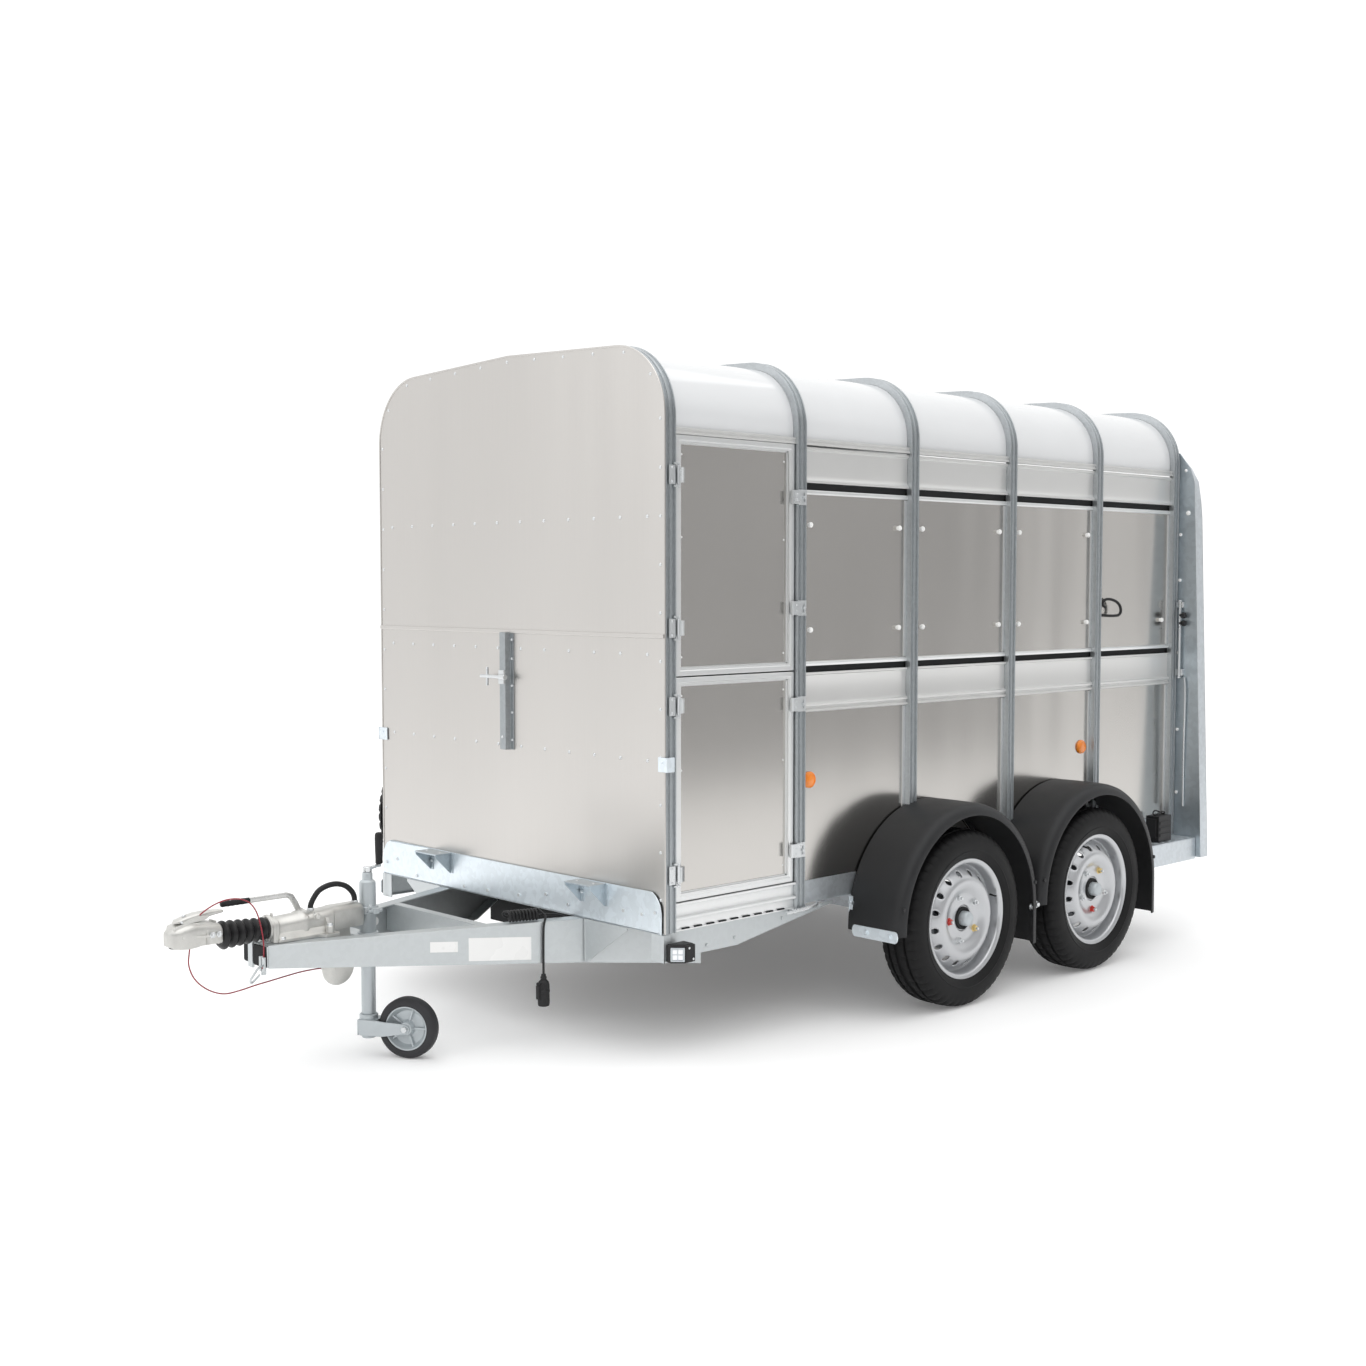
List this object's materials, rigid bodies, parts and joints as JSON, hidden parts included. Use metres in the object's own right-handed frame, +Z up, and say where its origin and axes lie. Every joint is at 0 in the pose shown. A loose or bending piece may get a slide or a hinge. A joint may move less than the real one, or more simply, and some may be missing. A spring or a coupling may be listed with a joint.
{
  "type": "livestock trailer",
  "caption": "Twin-axle livestock trailer with a hooped sheet-metal body, rear ramp, split side door, overrun coupling and swivelling jockey wheel.",
  "frame": {"origin": "on the ground, under the middle of the overall length and width", "axes": "+Z up, -Y the way the trailer is towed, +X its left (nearside) with the side door"},
  "size_m": [2.024, 4.456, 2.33],
  "materials": {
    "drawbar": "hot-dip galvanised, light and even",
    "chassis": "galvanised",
    "floor": "resin-faced plywood with a tread pattern",
    "front_sheet": "satin warm light grey",
    "headboard": "galvanised with a pale spangle",
    "hoops": "galvanised",
    "roof": "glossy white",
    "side_sheet": "mill finish, faintly ribbed and reflective",
    "fittings": "zinc plated",
    "rear_wing": "galvanised, blue-grey",
    "ramp": "mill finish",
    "axle": "galvanised beam, dull grey drums",
    "rim": "silver paint",
    "tyre": "near-black rubber",
    "mudguard": "charcoal, lightly textured",
    "coupling": "die cast",
    "bellows": "satin black",
    "handbrake": "cast lever",
    "jockey": "light grey",
    "jockey_tyre": "dark grey rubber on a grey hub",
    "crank": "black grip on a zinc-plated crank",
    "cable": "black sheath",
    "plug": "black",
    "red_cable": "red plastic sheath",
    "hose": "black hose"
  },
  "bodies": {
    "trailer": {"drawbar_beam_left": "drawbar", "drawbar_beam_right": "drawbar", "side_rail_left": "chassis", "side_rail_right": "chassis", "floor_deck": "floor", "chassis_brace_left": "chassis", "chassis_brace_right": "chassis", "front_panel_lower": "front_sheet", "front_panel_upper": "front_sheet", "headboard": "headboard", "hoop_frame": "hoops", "roof_skin": "roof", "upper_panel_left": "side_sheet", "lower_panel_left": "side_sheet", "upper_panel_right": "side_sheet", "lower_panel_right": "side_sheet", "rear_wing_left": "rear_wing", "rear_wing_right": "rear_wing", "axle_front": "axle", "axle_rear": "axle", "spare_rim": "rim", "spare_tyre": "tyre", "mudguard_front_left": "mudguard", "mudguard_front_right": "mudguard", "mudguard_rear_left": "mudguard", "mudguard_rear_right": "mudguard", "coupling_housing": "coupling", "coupling_bellows": "bellows", "jockey_tube": "jockey", "cable_lead": "cable", "cable_curl": "cable", "cable_drop": "cable", "cable_plug": "plug", "breakaway_cable": "red_cable", "guide_cable": "red_cable", "brake_hose": "hose"},
    "coupling_head": {"coupling_head": "coupling"},
    "coupling_handle": {"coupling_handle": "coupling"},
    "handbrake_lever": {"handbrake_lever": "handbrake"},
    "jockey_crank": {"jockey_crank": "crank"},
    "jockey_inner": {"jockey_inner_tube": "jockey"},
    "jockey_fork": {"jockey_fork": "jockey"},
    "jockey_wheel": {"jockey_wheel": "jockey_tyre"},
    "door_upper": {"door_upper": "side_sheet"},
    "door_lower": {"door_lower": "side_sheet"},
    "latch_upper_top": {"door_latch_upper_top": "fittings"},
    "latch_upper_low": {"door_latch_upper_low": "fittings"},
    "latch_lower_top": {"door_latch_lower_top": "fittings"},
    "latch_lower_low": {"door_latch_lower_low": "fittings"},
    "ramp": {"ramp": "ramp"},
    "ramp_latch_left": {"ramp_latch_left": "fittings"},
    "ramp_latch_right": {"ramp_latch_right": "fittings"},
    "wheel_front_left": {"wheel_rim_front_left": "rim", "tyre_front_left": "tyre"},
    "wheel_front_right": {"wheel_rim_front_right": "rim", "tyre_front_right": "tyre"},
    "wheel_rear_left": {"wheel_rim_rear_left": "rim", "tyre_rear_left": "tyre"},
    "wheel_rear_right": {"wheel_rim_rear_right": "rim", "tyre_rear_right": "tyre"}
  },
  "joints": [
    {"name": "wheel_front_left_spin", "type": "hinge", "parent": "trailer", "child": "wheel_front_left", "pos_m": [0.912, 0.3937, 0.325], "axis": [1, 0, 0], "continuous": true},
    {"name": "wheel_front_right_spin", "type": "hinge", "parent": "trailer", "child": "wheel_front_right", "pos_m": [-0.912, 0.3937, 0.325], "axis": [1, 0, 0], "continuous": true},
    {"name": "wheel_rear_left_spin", "type": "hinge", "parent": "trailer", "child": "wheel_rear_left", "pos_m": [0.912, 1.2452, 0.325], "axis": [1, 0, 0], "continuous": true},
    {"name": "wheel_rear_right_spin", "type": "hinge", "parent": "trailer", "child": "wheel_rear_right", "pos_m": [-0.912, 1.2452, 0.325], "axis": [1, 0, 0], "continuous": true},
    {"name": "coupling_slide", "type": "slide", "parent": "trailer", "child": "coupling_head", "axis": [0, 1, 0], "range_m": [0, 0.09], "deforming": ["coupling_bellows"]},
    {"name": "coupling_handle_lift", "type": "hinge", "parent": "coupling_head", "child": "coupling_handle", "pos_m": [0, -2.194, 0.53], "axis": [1, 0, 0], "range_deg": [0, 55], "stiffness_Nm_per_rad": 2},
    {"name": "handbrake_pull", "type": "hinge", "parent": "trailer", "child": "handbrake_lever", "pos_m": [-0.066, -1.738, 0.492], "axis": [-1, 0, 0], "range_deg": [0, 100]},
    {"name": "jockey_crank_turn", "type": "hinge", "parent": "trailer", "child": "jockey_crank", "pos_m": [0, -1.524, 0.61], "axis": [0, 0, 1], "range_deg": [-5900, 6500]},
    {"name": "jockey_slide", "type": "slide", "parent": "trailer", "child": "jockey_inner", "axis": [0, 0, 1], "range_m": [-0.1, 0.11]},
    {"name": "jockey_swivel", "type": "hinge", "parent": "jockey_inner", "child": "jockey_fork", "pos_m": [0, -1.524, 0.1], "axis": [0, 0, 1], "continuous": true},
    {"name": "jockey_wheel_spin", "type": "hinge", "parent": "jockey_fork", "child": "jockey_wheel", "pos_m": [0.1213, -1.4501, 0.1], "axis": [0.5201, -0.8541, 0], "continuous": true},
    {"name": "door_upper_hinge", "type": "hinge", "parent": "trailer", "child": "door_upper", "pos_m": [0.803, -0.882, 1.63], "axis": [0, 0, -1], "range_deg": [0, 160]},
    {"name": "door_lower_hinge", "type": "hinge", "parent": "trailer", "child": "door_lower", "pos_m": [0.803, -0.882, 0.885], "axis": [0, 0, -1], "range_deg": [0, 160]},
    {"name": "latch_upper_top_turn", "type": "hinge", "parent": "door_upper", "child": "latch_upper_top", "pos_m": [0.793, -0.344, 1.836], "axis": [0, 0, -1], "range_deg": [0, 100]},
    {"name": "latch_upper_low_turn", "type": "hinge", "parent": "door_upper", "child": "latch_upper_low", "pos_m": [0.793, -0.344, 1.462], "axis": [0, 0, -1], "range_deg": [0, 100]},
    {"name": "latch_lower_top_turn", "type": "hinge", "parent": "door_lower", "child": "latch_lower_top", "pos_m": [0.793, -0.344, 1.135], "axis": [0, 0, -1], "range_deg": [0, 100]},
    {"name": "latch_lower_low_turn", "type": "hinge", "parent": "door_lower", "child": "latch_lower_low", "pos_m": [0.793, -0.344, 0.634], "axis": [0, 0, -1], "range_deg": [0, 100]},
    {"name": "ramp_hinge", "type": "hinge", "parent": "trailer", "child": "ramp", "pos_m": [0, 2.218, 0.448], "axis": [-1, 0, 0], "range_deg": [0, 108]},
    {"name": "ramp_latch_left_turn", "type": "hinge", "parent": "trailer", "child": "ramp_latch_left", "pos_m": [0.818, 2.148, 1.3], "axis": [0, 0, -1], "range_deg": [0, 90]},
    {"name": "ramp_latch_right_turn", "type": "hinge", "parent": "trailer", "child": "ramp_latch_right", "pos_m": [-0.818, 2.148, 1.3], "axis": [0, 0, 1], "range_deg": [0, 90]}
  ],
  "couplings": [
    {"joint": "jockey_slide", "follows": "jockey_crank_turn", "m_per_rad": 0.00095493}
  ]
}
